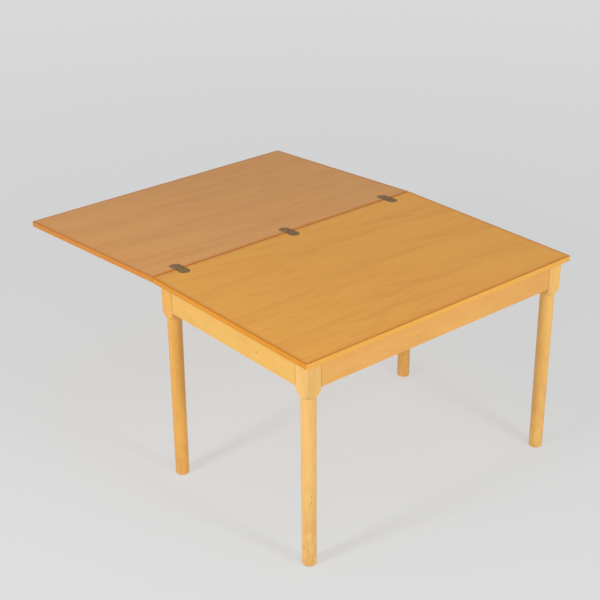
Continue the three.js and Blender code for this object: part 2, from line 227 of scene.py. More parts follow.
def add(tree, first, second):
    return math_node(tree, "ADD", first, second)


def less(tree, first, second):
    return math_node(tree, "SUBTRACT", first, second)


def times(tree, first, second):
    return math_node(tree, "MULTIPLY", first, second)


def map_range(tree, value, source, target, interpolation="LINEAR"):
    """A value carried from one span to another, and held at its ends."""
    inputs = {
        "Value": value,
        "From Min": source[0],
        "From Max": source[1],
        "To Min": target[0],
        "To Max": target[1],
    }
    made = node(tree, "ShaderNodeMapRange", inputs, interpolation_type=interpolation)
    return made.outputs["Result"]


def ramp(tree, value, low, high):
    """0 below low, 1 above high and smooth between them."""
    return map_range(tree, value, (low, high), (0.0, 1.0), "SMOOTHSTEP")


def fade(tree, value, low, high):
    """1 below low, 0 above high and smooth between them."""
    return less(tree, 1.0, ramp(tree, value, low, high))


def stretched_noise(tree, vector, scale, detail=2.0, roughness=0.5, distortion=0.0):
    """Noise whose features are 1 / scale long on each axis."""
    spread = node(
        tree, "ShaderNodeVectorMath", {0: vector, 1: scale}, operation="MULTIPLY"
    )
    made = node(
        tree,
        "ShaderNodeTexNoise",
        {
            "Vector": spread.outputs[0],
            "Scale": 1.0,
            "Detail": detail,
            "Roughness": roughness,
            "Distortion": distortion,
        },
    )
    return made.outputs["Fac"]


def mix_colour(tree, share, first, second, blend_type="MIX"):
    """Two colours mixed by a share."""
    inputs = {0: share, 6: first, 7: second}
    made = node(tree, "ShaderNodeMix", inputs, data_type="RGBA", blend_type=blend_type)
    return made.outputs[2]


def new_group(name, inputs, outputs):
    """An empty shader group with named sockets, and its input and output nodes."""
    group = bpy.data.node_groups.new(name, "ShaderNodeTree")
    for label, kind, *value in inputs:
        socket = group.interface.new_socket(
            name=label, in_out="INPUT", socket_type=f"NodeSocket{kind}"
        )
        if value:
            socket.default_value = value[0]
    for label, kind in outputs:
        group.interface.new_socket(
            name=label, in_out="OUTPUT", socket_type=f"NodeSocket{kind}"
        )
    return group, group.nodes.new("NodeGroupInput").outputs, group.nodes.new("NodeGroupOutput")


def group_node(tree, group, inputs):
    """The outputs of a group placed in a tree."""
    return node(tree, "ShaderNodeGroup", inputs, node_tree=group).outputs


# Solid beech with its grain along Z. Growth rings lie round Z, fine fibres run along it, and
# short dark flecks are scattered over every face.
beech_grain, given, result = new_group(
    "beech_grain",
    [
        ("Vector", "Vector"),
        ("Pale", "Color"),
        ("Deep", "Color"),
        ("Fleck", "Color"),
        ("Ring Spacing", "Float", 0.006),
        ("Ring Strength", "Float", 0.4),
        ("Fleck Strength", "Float", 0.35),
        ("Blotch Strength", "Float", 0.0),
    ],
    [("Color", "Color"), ("Roughness", "Float"), ("Height", "Float")],
)
tree = beech_grain
place = given["Vector"]
axes = node(tree, "ShaderNodeSeparateXYZ", {0: place}).outputs
squares = [math_node(tree, "POWER", axis, 2.0) for axis in axes[:2]]
from_pith = math_node(tree, "SQRT", add(tree, *squares))
wander = stretched_noise(tree, place, (9.0, 9.0, 1.3), detail=3.0)
waved = add(tree, from_pith, times(tree, wander, 0.022))
ring = math_node(tree, "FRACT", math_node(tree, "DIVIDE", waved, given["Ring Spacing"]))
late_wood = math_node(tree, "POWER", math_node(tree, "PINGPONG", ring, 1.0), 3.0)
soft_ring = times(tree, late_wood, fade(tree, ring, 0.93, 1.0))
broad = stretched_noise(tree, place, (7.0, 7.0, 0.9))
tone = math_node(
    tree,
    "ADD",
    times(tree, soft_ring, given["Ring Strength"]),
    times(tree, ramp(tree, broad, 0.35, 0.7), 0.45),
    clamp=True,
)
fibre = stretched_noise(tree, place, (900.0, 900.0, 22.0), roughness=0.6)
dash = stretched_noise(tree, place, (620.0, 620.0, 150.0), detail=1.0)
fleck = ramp(tree, dash, 0.63, 0.70)
ring_colour = mix_colour(tree, tone, given["Pale"], given["Deep"])
cloud = stretched_noise(tree, place, (24.0, 24.0, 8.0), detail=5.0, roughness=0.62)
blotch = times(tree, ramp(tree, cloud, 0.46, 0.66), given["Blotch Strength"])
stained = mix_colour(tree, 1.0, given["Deep"], (0.93, 0.80, 0.62, 1), "MULTIPLY")
body_colour = mix_colour(tree, blotch, ring_colour, stained)
strand = stretched_noise(tree, place, (230.0, 230.0, 4.5), detail=3.0, roughness=0.65)
strands = times(tree, add(tree, fibre, strand), 0.5)
fibre_shade = map_range(tree, strands, (0.25, 0.75), (0.90, 1.08))
fibred = node(
    tree, "ShaderNodeVectorMath", {0: body_colour, 3: fibre_shade}, operation="SCALE"
)
flecked = mix_colour(
    tree, times(tree, fleck, given["Fleck Strength"]), fibred.outputs[0], given["Fleck"]
)
smudge = stretched_noise(tree, place, (5.0, 5.0, 3.0), detail=3.0)
uneven_gloss = add(tree, times(tree, smudge, 0.14), times(tree, fibre, 0.10))
relief = less(tree, times(tree, fibre, 0.6), times(tree, fleck, 0.4))
tree.links.new(flecked, result.inputs["Color"])
tree.links.new(uneven_gloss, result.inputs["Roughness"])
tree.links.new(relief, result.inputs["Height"])

# Slip-matched veneer on the face of a board, and its backing. The leaves repeat across the
# board, and each was cut a little deeper in the log than the last. The lacquer is darker in a
# wavering band round the rim.
veneered_board, given, result = new_group(
    "veneered_board",
    [
        ("Place", "Vector"),
        ("Shift", "Vector"),
        ("Pale", "Color"),
        ("Deep", "Color"),
        ("Fleck", "Color"),
        ("Streak", "Color"),
        ("Back Pale", "Color"),
        ("Back Deep", "Color"),
        ("Leaf Width", "Float", 0.205),
        ("Streak Strength", "Float", 0.34),
        ("Line Strength", "Float", 0.26),
        ("Seam Strength", "Float", 0.30),
        ("Rim Strength", "Float", 0.60),
    ],
    [
        ("Color", "Color"),
        ("Roughness", "Float"),
        ("Height", "Float"),
        ("Back Color", "Color"),
        ("Back Roughness", "Float"),
        ("Face", "Float"),
    ],
)
tree = veneered_board
place = given["Place"]
shifted = node(
    tree, "ShaderNodeVectorMath", {0: place, 1: given["Shift"]}, operation="ADD"
)
across, along, _ = node(
    tree, "ShaderNodeSeparateXYZ", {0: shifted.outputs[0]}
).outputs
count = math_node(tree, "DIVIDE", across, given["Leaf Width"])
number = math_node(tree, "FLOOR", count)
share = less(tree, count, number)
within = times(tree, share, given["Leaf Width"])
slanted = less(tree, within, times(tree, along, VENEER_SLANT))
depth = add(tree, times(tree, along, 0.035), times(tree, number, 0.0009))
log_place = node(
    tree,
    "ShaderNodeCombineXYZ",
    {0: less(tree, slanted, 0.10), 1: add(tree, depth, 0.055), 2: along},
).outputs[0]
wood = group_node(
    tree,
    beech_grain,
    {
        "Vector": log_place,
        "Pale": given["Pale"],
        "Deep": given["Deep"],
        "Fleck": given["Fleck"],
        "Ring Spacing": 0.0075,
        "Ring Strength": 0.30,
        "Fleck Strength": 0.22,
    },
)
backing = group_node(
    tree,
    beech_grain,
    {
        "Vector": log_place,
        "Pale": given["Back Pale"],
        "Deep": given["Back Deep"],
        "Fleck": (0.33, 0.18, 0.08, 1),
        "Ring Spacing": 0.011,
        "Fleck Strength": 0.3,
    },
)
leaf_place = node(
    tree, "ShaderNodeCombineXYZ", {0: slanted, 1: along, 2: times(tree, number, 0.12)}
).outputs[0]
streak_noise = stretched_noise(
    tree, leaf_place, (34.0, 1.7, 1.0), detail=3.5, roughness=0.62, distortion=0.15
)
streak = ramp(tree, streak_noise, 0.53, 0.72)
flow = stretched_noise(tree, leaf_place, (9.0, 1.15, 1.0))
contour = math_node(
    tree,
    "FRACT",
    add(tree, math_node(tree, "DIVIDE", slanted, 0.060), times(tree, flow, 6.0)),
)
from_line = math_node(tree, "ABSOLUTE", less(tree, contour, 0.5))
patch = stretched_noise(tree, leaf_place, (14.0, 2.6, 1.0))
line = times(tree, fade(tree, from_line, 0.02, 0.19), ramp(tree, patch, 0.40, 0.62))
from_seam = math_node(tree, "MINIMUM", share, less(tree, 1.0, share))
seam = fade(tree, from_seam, 0.0, 0.0022)
x, y, z = node(tree, "ShaderNodeSeparateXYZ", {0: place}).outputs
from_sides = math_node(
    tree, "MINIMUM", less(tree, x, BOARD_LOW.x), less(tree, BOARD_HIGH.x, x)
)
from_ends = less(tree, BOARD_HIGH.y, math_node(tree, "ABSOLUTE", y))
waver = times(tree, stretched_noise(tree, place, (30.0, 30.0, 1.0), detail=3.0), 0.006)
from_rim = less(tree, math_node(tree, "MINIMUM", from_sides, from_ends), waver)
rim = fade(tree, from_rim, -0.003, 0.011)
figured = wood["Color"]
for mask, strength, stain in (
    (streak, "Streak Strength", "Streak"),
    (line, "Line Strength", "Streak"),
    (seam, "Seam Strength", "Deep"),
    (rim, "Rim Strength", "Streak"),
):
    figured = mix_colour(tree, times(tree, mask, given[strength]), figured, given[stain])
tree.links.new(figured, result.inputs["Color"])
tree.links.new(wood["Roughness"], result.inputs["Roughness"])
tree.links.new(wood["Height"], result.inputs["Height"])
tree.links.new(backing["Color"], result.inputs["Back Color"])
tree.links.new(backing["Roughness"], result.inputs["Back Roughness"])
tree.links.new(
    ramp(tree, z, TOP_FACE - FACE_VENEER - 0.0002, TOP_FACE - FACE_VENEER + 0.0002),
    result.inputs["Face"],
)


def finished_surface(
    tree, colour, roughness, height, bump_depth, metallic=0.0, coat=0.0, specular=0.5
):
    """The Principled shader that each finish of the table ends in."""
    bump = node(
        tree,
        "ShaderNodeBump",
        {"Strength": 0.5, "Distance": bump_depth, "Height": height},
    )
    shader = node(
        tree,
        "ShaderNodeBsdfPrincipled",
        {
            "Base Color": colour,
            "Roughness": roughness,
            "Metallic": metallic,
            "Coat Weight": coat,
            "Coat Roughness": 0.22,
            "Specular IOR Level": specular,
            "Normal": bump.outputs[0],
        },
    )
    node(tree, "ShaderNodeOutputMaterial", {"Surface": shader.outputs[0]})


def level_place(tree, half):
    """Object coordinates turned back to where the half lies level, on the joint's outer side."""
    back = HALVES[half].inverted()
    coordinates = node(tree, "ShaderNodeTexCoord")
    mapping = node(
        tree,
        "ShaderNodeMapping",
        {
            "Vector": coordinates.outputs["Object"],
            "Location": back.to_translation(),
            "Rotation": back.to_euler(),
        },
    )
    return mapping.outputs[0]


def scuffed(tree, place, colour, mark):
    """A colour with the ragged scuff that lies beside the middle hinge."""
    offset = node(
        tree, "ShaderNodeVectorMath", {0: place, 1: SCUFF_PLACE}, operation="SUBTRACT"
    )
    squeezed = node(
        tree,
        "ShaderNodeVectorMath",
        {0: offset.outputs[0], 1: (1 / SCUFF_LENGTH, 1 / SCUFF_WIDTH, 0)},
        operation="MULTIPLY",
    )
    distance = node(
        tree, "ShaderNodeVectorMath", {0: squeezed.outputs[0]}, operation="LENGTH"
    )
    ragged = add(
        tree,
        distance.outputs["Value"],
        stretched_noise(tree, place, (260.0, 260.0, 1.0), detail=3.0),
    )
    scuff = fade(tree, ragged, 0.9, 1.5)
    return mix_colour(tree, times(tree, scuff, 0.55), colour, mark)


def veneer_material(name, half, shift, tones, back_rough):
    """Lacquered veneer on the top face, and the backing's own finish under the board."""
    material, tree = empty_material(name)
    place = level_place(tree, half)
    veneer = group_node(tree, veneered_board, {"Place": place, "Shift": shift, **tones})
    face_colour = veneer["Color"]
    if half == "top":
        face_colour = scuffed(tree, place, face_colour, tones["Fleck"])
    colour = mix_colour(tree, veneer["Face"], veneer["Back Color"], face_colour)
    lacquered = add(tree, veneer["Roughness"], LACQUER_ROUGH)
    dull = add(tree, veneer["Back Roughness"], back_rough)
    roughness = node(
        tree, "ShaderNodeMix", {0: veneer["Face"], 2: dull, 3: lacquered}, data_type="FLOAT"
    ).outputs[0]
    finished_surface(tree, colour, roughness, veneer["Height"], 0.00006)
    return material


TOP_VENEER = veneer_material(
    "top veneer",
    "top",
    shift=(0.018, 0.56, 0),
    tones={
        "Pale": (0.83, 0.391, 0.056, 1),
        "Deep": (0.715, 0.298, 0.035, 1),
        "Fleck": (0.46, 0.17, 0.022, 1),
        "Streak": (0.66, 0.245, 0.032, 1),
        "Back Pale": (0.60, 0.40, 0.20, 1),
        "Back Deep": (0.50, 0.31, 0.14, 1),
    },
    back_rough=0.55,
)
# The leaf's tones are darker and carry more blue than the fixed half's. Part of this is its own
# veneer, and part is painted shade, as the leaf tips away from the light, along with a painted
# reflection of the pale surround.
LEAF_VENEER = veneer_material(
    "leaf veneer",
    "leaf",
    shift=(0.071, 0.56, 0),
    tones={
        "Pale": (0.76, 0.356, 0.099, 1),
        "Deep": (0.655, 0.281, 0.066, 1),
        "Fleck": (0.38, 0.145, 0.03, 1),
        "Streak": (0.60, 0.230, 0.055, 1),
        "Back Pale": (0.80, 0.43, 0.105, 1),
        "Back Deep": (0.70, 0.34, 0.072, 1),
    },
    back_rough=0.38,
)


MERGE_ANGLE = math.radians(0.5)
SMOOTH_UP_TO = math.radians(32)
BEVEL_ANGLE = math.radians(35)


def merged_copy(cad_node):
    """A bmesh of a CAD node with its loose triangles merged into whole faces."""
    copied = bmesh.new()
    copied.from_mesh(frame["nodes"][cad_node].data)
    bmesh.ops.remove_doubles(copied, verts=copied.verts, dist=1e-6)
    bmesh.ops.dissolve_limit(
        copied, angle_limit=MERGE_ANGLE, verts=copied.verts, edges=copied.edges
    )
    return copied


def soften_edges(piece, width, segments=2):
    """Eases the sharp edges of a piece."""
    bevel = piece.modifiers.new("eased edges", "BEVEL")
    bevel.width = width
    bevel.segments = segments
    bevel.limit_method = "ANGLE"
    bevel.angle_limit = BEVEL_ANGLE
    bevel.harden_normals = True


def new_piece(name, shape, material, body, slot, *cad_nodes):
    """An object made from a bmesh, riding on a body in place of the named CAD nodes."""
    mesh = bpy.data.meshes.new(name)
    shape.to_mesh(mesh)
    shape.free()
    mesh.materials.append(material)
    mesh.shade_smooth()
    mesh.set_sharp_from_angle(angle=SMOOTH_UP_TO)
    made = bpy.data.objects.new(name, mesh)
    scene.collection.objects.link(made)
    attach(made, body)
    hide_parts(*cad_nodes)
    return made


BODY = {"top": "table", "leaf": "leaf"}
for half, material in (("top", TOP_VENEER), ("leaf", LEAF_VENEER)):
    cad_node = f"{half}_panel"
    board = new_piece(
        f"{half}_board", merged_copy(cad_node), material, BODY[half], f"{half}_veneer", cad_node
    )
    board.data.shade_flat()

# ---- Edge strips ----
# A solid strip is glued along each edge of a board and mitred at the corners. Its arrises are
# rounded, its corners eased, and the lacquer lies darker along the top arris.

STRIP_WIDTH = 0.004
ARRIS = 0.002
ARRIS_STEPS = 6
CORNER_ROUND = 0.005
CORNER_STEPS = 4
MITRE_TRIM = math.radians(1.2)
HINGE_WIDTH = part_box("hinge_plate_top_1")[1].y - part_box("hinge_plate_top_1")[0].y
HINGE_PLACES = [
    (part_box(f"hinge_link_{i}")[0].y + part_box(f"hinge_link_{i}")[1].y) / 2 for i in (1, 2, 3)
]
LINK_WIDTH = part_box("hinge_link_1")[1].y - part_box("hinge_link_1")[0].y
FIT = 0.0003
KNUCKLE_HEIGHT = 0.006
LINK_POCKET_DEPTH = 0.0088
POCKET_MARGIN = 0.0004
# Depths under the top face between which the lacquer fades out and the painted shade in the
# hinge pockets sets in.
LACQUER_BAND = (0.0009, 0.0026)
POCKET_SHADE_BAND = (0.0016, 0.0035)
JOINT_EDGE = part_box("top_edge_joint")[0].x
OUTER_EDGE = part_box("top_edge_outer")[1].x
HALF_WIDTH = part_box("top_edge_back")[1].y


def strip_profile():
    """The strip's section as (depth from the outer face, height), from the top inner edge."""
    low, high = UNDERSIDE, TOP_FACE
    outline = [(STRIP_WIDTH, high)]
    for i in range(ARRIS_STEPS + 1):
        angle = math.pi / 2 * i / ARRIS_STEPS
        outline.append((ARRIS * (1 - math.sin(angle)), high - ARRIS * (1 - math.cos(angle))))
    for i in range(ARRIS_STEPS + 1):
        angle = math.pi / 2 * i / ARRIS_STEPS
        outline.append((ARRIS * (1 - math.cos(angle)), low + ARRIS * (1 - math.sin(angle))))
    outline.append((STRIP_WIDTH, low))
    return outline


def strip_stations(facing, middle, reach, half_length):
    """Where the strip's sections stand: a centre and an outward direction for each."""
    along = Vector((-facing.y, facing.x, 0))
    stations = []
    for end in (-1, 1):
        towards_face = facing * (reach - CORNER_ROUND)
        centre = middle + towards_face + along * end * (half_length - CORNER_ROUND)
        turns = [math.pi / 4 * i / CORNER_STEPS for i in range(CORNER_STEPS - 1, -1, -1)]
        turns.insert(0, math.pi / 4 - MITRE_TRIM)
        if end > 0:
            turns.reverse()
        for turn in turns:
            outward = facing * math.cos(turn) + along * end * math.sin(turn)
            stations.append((centre, outward))
    return stations


def edge_strip(facing, middle, reach, half_length):
    """A bmesh of one strip, with its outer face looking along facing."""
    shape = bmesh.new()
    profile = strip_profile()
    rows = []
    for centre, outward in strip_stations(facing, middle, reach, half_length):
        row = []
        for inset, height in profile:
            spot = centre + outward * (CORNER_ROUND - inset)
            row.append(shape.verts.new((spot.x, spot.y, height)))
        rows.append(row)
    for row, following in zip(rows, rows[1:]):
        for i in range(len(row)):
            j = (i + 1) % len(row)
            shape.faces.new((row[i], row[j], following[j], following[i]))
    shape.faces.new(rows[0][::-1])
    shape.faces.new(rows[-1])
    bmesh.ops.recalc_face_normals(shape, faces=shape.faces)
    return shape


def block(low, high):
    """A bmesh box between two corners."""
    shape = bmesh.new()
    bmesh.ops.create_cube(shape, size=1.0)
    size = Vector(high) - Vector(low)
    middle = (Vector(high) + Vector(low)) / 2
    bmesh.ops.scale(shape, vec=size, verts=shape.verts)
    bmesh.ops.translate(shape, vec=middle, verts=shape.verts)
    return shape


def carve(shape, cutters, additions=()):
    """A bmesh with other solids joined to it, then the cutters' space taken out of it."""
    scratch = []
    for i, part in enumerate([shape, *additions, *cutters]):
        mesh = bpy.data.meshes.new(f"scratch_{i}")
        part.to_mesh(mesh)
        part.free()
        made = bpy.data.objects.new(f"scratch_{i}", mesh)
        scene.collection.objects.link(made)
        scratch.append(made)
    for i, other in enumerate(scratch[1:]):
        boolean = scratch[0].modifiers.new(other.name, "BOOLEAN")
        boolean.operation = "UNION" if i < len(additions) else "DIFFERENCE"
        boolean.solver = "EXACT"
        boolean.object = other
    depsgraph = bpy.context.evaluated_depsgraph_get()
    result_mesh = bpy.data.meshes.new_from_object(scratch[0].evaluated_get(depsgraph))
    carved = bmesh.new()
    carved.from_mesh(result_mesh)
    bpy.data.meshes.remove(result_mesh)
    for made in scratch:
        bpy.data.objects.remove(made)
    bmesh.ops.remove_doubles(carved, verts=carved.verts, dist=1e-6)
    return carved


def hinge_pockets():
    """What the three hinges take out of the strip along the joint."""
    beyond = JOINT_EDGE + 2 * STRIP_WIDTH
    cutters = []
    for y in HINGE_PLACES:
        for half_width, depth in (
            (HINGE_WIDTH / 2 + FIT, KNUCKLE_HEIGHT + FIT),
            (LINK_WIDTH / 2 + FIT, LINK_POCKET_DEPTH),
        ):
            cutters.append(
                block(
                    (-STRIP_WIDTH, y - half_width, TOP_FACE - depth),
                    (beyond, y + half_width, TOP_FACE + STRIP_WIDTH),
                )
            )
    return cutters


# Lacquer gathered along the top arris of a strip, and painted shade down inside the hinge
# pockets.
edge_lacquer, given, result = new_group(
    "edge_lacquer",
    [
        ("Place", "Vector"),
        ("Color", "Color"),
        ("Arris", "Color"),
        ("Dirt", "Color", (0.040, 0.018, 0.006, 1)),
        ("Dirt Strength", "Float", 0.9),
    ],
    [("Color", "Color")],
)
tree = edge_lacquer
x, y, z = node(tree, "ShaderNodeSeparateXYZ", {0: given["Place"]}).outputs
gathered = ramp(tree, z, TOP_FACE - LACQUER_BAND[1], TOP_FACE - LACQUER_BAND[0])
uneven = stretched_noise(tree, given["Place"], (60.0, 60.0, 60.0), detail=3.0)
lacquer = times(tree, gathered, map_range(tree, uneven, (0.0, 1.0), (0.75, 1.0)))
# Painted shade: more than about 2 mm under the top face, the walls and floors of the hinge
# pockets in the joint strip are darkened nearly to black.
in_pocket = fade(tree, z, TOP_FACE - POCKET_SHADE_BAND[1], TOP_FACE - POCKET_SHADE_BAND[0])
for operation, axis, limit in (
    ("GREATER_THAN", z, TOP_FACE - LINK_POCKET_DEPTH - POCKET_MARGIN),
    ("GREATER_THAN", x, JOINT_EDGE + POCKET_MARGIN),
    ("LESS_THAN", x, JOINT_EDGE + STRIP_WIDTH),
    ("LESS_THAN", math_node(tree, "ABSOLUTE", y), HALF_WIDTH - CORNER_ROUND),
):
    in_pocket = times(tree, in_pocket, math_node(tree, operation, axis, limit))
lined = mix_colour(tree, lacquer, given["Color"], given["Arris"])
pocket_shaded = mix_colour(
    tree, times(tree, in_pocket, given["Dirt Strength"]), lined, given["Dirt"]
)
tree.links.new(pocket_shaded, result.inputs["Color"])


def strip_material(name, half, pale, deep):
    """Lacquered solid wood, with its grain along the joint."""
    material, tree = empty_material(name)
    place = level_place(tree, half)
    grain_place = node(
        tree,
        "ShaderNodeMapping",
        {"Vector": place, "Location": (0.04, 0.03, 0.0), "Rotation": (math.pi / 2, 0.02, 0.03)},
    )
    wood = group_node(
        tree,
        beech_grain,
        {
            "Vector": grain_place.outputs[0],
            "Pale": pale,
            "Deep": deep,
            "Fleck": (0.42, 0.16, 0.035, 1),
            "Ring Spacing": 0.005,
            "Ring Strength": 0.3,
            "Fleck Strength": 0.25,
        },
    )
    lacquered = group_node(
        tree,
        edge_lacquer,
        {"Place": place, "Color": wood["Color"], "Arris": (0.56, 0.172, 0.003, 1)},
    )
    finished_surface(
        tree,
        lacquered["Color"],
        add(tree, wood["Roughness"], 0.34),
        wood["Height"],
        0.00005,
        specular=0.25,
    )
    return material


PALE_STRIP = strip_material(
    "pale strip", "top", (0.86, 0.45, 0.080, 1), (0.78, 0.37, 0.055, 1)
)
RED_STRIP = strip_material(
    "red strip", "top", (0.71, 0.285, 0.016, 1), (0.61, 0.225, 0.010, 1)
)
LEAF_STRIP = strip_material(
    "leaf strip", "leaf", (0.66, 0.250, 0.030, 1), (0.56, 0.190, 0.018, 1)
)
# Seen level, the leaf is the fixed half turned round, so its front lies the other way along Y.
TURN = {"top": 1, "leaf": -1}
board_middle = Vector(((JOINT_EDGE + OUTER_EDGE) / 2, 0, 0))
half_length = (OUTER_EDGE - JOINT_EDGE) / 2
for half, turn in TURN.items():
    for side, facing, reach, half_run in (
        ("joint", Vector((-1, 0, 0)), half_length, HALF_WIDTH),
        ("outer", Vector((1, 0, 0)), half_length, HALF_WIDTH),
        ("front", Vector((0, -turn, 0)), HALF_WIDTH, half_length),
        ("back", Vector((0, turn, 0)), HALF_WIDTH, half_length),
    ):
        shape = edge_strip(facing, board_middle, reach, half_run)
        if side == "joint":
            shape = carve(shape, hinge_pockets())
        shape.transform(HALVES[half])
        finish = LEAF_STRIP
        if half == "top":
            finish = PALE_STRIP if side == "outer" else RED_STRIP
        new_piece(
            f"{half}_strip_{side}",
            shape,
            finish,
            BODY[half],
            "edge_lipping",
            f"{half}_edge_{side}",
        )

# ---- Legs ----
# Each leg is turned from one square length of beech. The head stays square between the aprons,
# a rounded shoulder turns its corners away below them, and a plain round leg runs to the floor.

LEG_HALF = (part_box("leg_outer_back")[1].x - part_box("leg_outer_back")[0].x) / 2
LEG_ROUND_TOP = 0.0238
LEG_ROUND_FOOT = 0.0228
FOOT_ROUND = 0.004
SHOULDER_TOP = 0.611
SHOULDER_BOTTOM = 0.585
SHOULDER_LEDGE = 0.0010
SHOULDER_CURVE = 1.4
HEAD_ARRIS = 0.0012
PAST_CORNER = 0.0005
BRINK = 0.0002
LEG_SIDES = 144
FOOT_RINGS = 6
SHAFT_RINGS = 12
SHOULDER_RINGS = 30


def turned_radius(height):
    """The lathe's cut at a height: the foot's rounding, the taper, then the shoulder."""
    if height < SHOULDER_BOTTOM:
        taper = LEG_ROUND_FOOT + (LEG_ROUND_TOP - LEG_ROUND_FOOT) * height / SHOULDER_BOTTOM
        if height >= FOOT_ROUND:
            return taper
        drop = 1 - height / FOOT_ROUND
        return taper - FOOT_ROUND * (1 - math.sqrt(1 - drop * drop))
    corner = LEG_HALF * math.sqrt(2) + PAST_CORNER
    fall = min(1, max(0, (SHOULDER_TOP - height) / (SHOULDER_TOP - SHOULDER_BOTTOM)))
    start = LEG_ROUND_TOP + SHOULDER_LEDGE
    return start + (corner - start) * (1 - fall**SHOULDER_CURVE)


def square_radius(angle):
    """How far the square head reaches from its axis, with its corners eased."""
    x, y = abs(math.cos(angle)), abs(math.sin(angle))
    flat = LEG_HALF / max(x, y)
    inner = LEG_HALF - HEAD_ARRIS
    along, across = max(x, y), min(x, y)
    if across * flat <= inner:
        return flat
    reach = inner * (along + across)
    return reach + math.sqrt(reach * reach - 2 * inner * inner + HEAD_ARRIS * HEAD_ARRIS)


def leg_heights():
    """The heights of the leg's rings, close together at the foot and the shoulder."""
    foot = [
        FOOT_ROUND * (1 - math.cos(math.pi / 2 * i / FOOT_RINGS))
        for i in range(FOOT_RINGS + 1)
    ]
    shaft = SHOULDER_BOTTOM - FOOT_ROUND
    plain = [FOOT_ROUND + shaft * i / SHAFT_RINGS for i in range(1, SHAFT_RINGS)]
    brink = [SHOULDER_BOTTOM - BRINK, SHOULDER_BOTTOM]
    span = SHOULDER_TOP - SHOULDER_BOTTOM
    shoulder = [
        SHOULDER_BOTTOM + span * i / SHOULDER_RINGS for i in range(1, SHOULDER_RINGS + 1)
    ]
    return foot + plain + brink + shoulder + [UNDERSIDE]


def leg_shape(centre):
    """A bmesh of one leg, standing on the floor round a centre."""
    shape = bmesh.new()
    rings = []
    for height in leg_heights():
        ring = []
        for i in range(LEG_SIDES):
            angle = 2 * math.pi * (i + 0.5) / LEG_SIDES
            radius = turned_radius(height)
            if height >= SHOULDER_BOTTOM:
                radius = min(radius, square_radius(angle))
            ring.append(
                shape.verts.new((
                    centre.x + radius * math.cos(angle),
                    centre.y + radius * math.sin(angle),
                    height,
                ))
            )
        rings.append(ring)
    for ring, above in zip(rings, rings[1:]):
        for i in range(LEG_SIDES):
            j = (i + 1) % LEG_SIDES
            shape.faces.new((ring[i], ring[j], above[j], above[i]))
    shape.faces.new(rings[0][::-1])
    shape.faces.new(rings[-1])
    return shape


# Wear on lacquered beech that is handled and kicked: a darker, scuffed foot and small nicks.
handling_wear, given, result = new_group(
    "handling_wear",
    [
        ("Place", "Vector"),
        ("Grain Place", "Vector"),
        ("Color", "Color"),
        ("Foot", "Color", (0.60, 0.27, 0.06, 1)),
        ("Foot Height", "Float", 0.42),
        ("Foot Strength", "Float", 0.4),
        ("Nick", "Color", (0.34, 0.13, 0.03, 1)),
        ("Nick Strength", "Float", 0.3),
    ],
    [("Color", "Color")],
)
tree = handling_wear
height = node(tree, "ShaderNodeSeparateXYZ", {0: given["Place"]}).outputs[2]
scuffs = stretched_noise(tree, given["Grain Place"], (60.0, 60.0, 26.0), detail=4.0)
worn_foot = times(
    tree, fade(tree, height, 0.0, given["Foot Height"]), ramp(tree, scuffs, 0.40, 0.62)
)
footed = mix_colour(
    tree, times(tree, worn_foot, given["Foot Strength"]), given["Color"], given["Foot"]
)
nick_noise = stretched_noise(tree, given["Grain Place"], (52.0, 52.0, 30.0), detail=1.0)
nick = ramp(tree, nick_noise, 0.755, 0.785)
nicked = mix_colour(tree, times(tree, nick, given["Nick Strength"]), footed, given["Nick"])
tree.links.new(nicked, result.inputs["Color"])


# Painted shade in the seams where a board meets a leg head at each end.
head_seam_shade, given, result = new_group(
    "head_seam_shade",
    [
        ("Along", "Float"),
        ("Color", "Color"),
        ("Middle", "Float", 0.0),
        ("Half Length", "Float", 0.5),
        ("Low End", "Float", 0.6),
        ("High End", "Float", 0.6),
        ("Dirt", "Color", (0.30, 0.12, 0.025, 1)),
    ],
    [("Color", "Color")],
)
tree = head_seam_shade
run = less(tree, given["Along"], given["Middle"])
from_head = less(tree, given["Half Length"], math_node(tree, "ABSOLUTE", run))
low_side = times(tree, given["Half Length"], -1.0)
strength = map_range(
    tree, run, (low_side, given["Half Length"]), (given["Low End"], given["High End"])
)
# Painted shade: the last few millimetres of the board next to each leg head are darkened, more
# at one end than the other.
seam_shade_share = times(tree, fade(tree, from_head, 0.0006, 0.0042), strength)
tree.links.new(
    mix_colour(tree, seam_shade_share, given["Color"], given["Dirt"]), result.inputs["Color"]
)


def beech_material(name, turn, shift, tones, ring_spacing, seams=None):
    """Lacquered solid beech. The turn brings the piece's grain to Z, and the shift its pith.

    Seams give the axis that a board runs along, and the inputs of the group that paints shade
    into its seams against the leg heads.
    """
    material, tree = empty_material(name)
    place = node(tree, "ShaderNodeTexCoord").outputs["Object"]
    grain_place = node(
        tree,
        "ShaderNodeMapping",
        {"Vector": place, "Location": shift, "Rotation": turn},
    ).outputs[0]
    wood = group_node(
        tree,
        beech_grain,
        {
            "Vector": grain_place,
            "Pale": tones[0],
            "Deep": tones[1],
            "Fleck": (0.56, 0.27, 0.075, 1),
            "Ring Spacing": ring_spacing,
            "Ring Strength": 0.34,
            "Fleck Strength": 0.30,
            "Blotch Strength": 0.26,
        },
    )
    worn = group_node(
        tree,
        handling_wear,
        {"Place": place, "Grain Place": grain_place, "Color": wood["Color"]},
    )
    colour = worn["Color"]
    if seams:
        axis, inputs = seams
        axes = node(tree, "ShaderNodeSeparateXYZ", {0: place}).outputs
        seam_shade = group_node(
            tree, head_seam_shade, {"Along": axes[axis], "Color": colour, **inputs}
        )
        colour = seam_shade["Color"]
    finished_surface(
        tree,
        colour,
        add(tree, wood["Roughness"], 0.33),
        wood["Height"],
        0.00006,
        coat=0.15,
    )
    return material
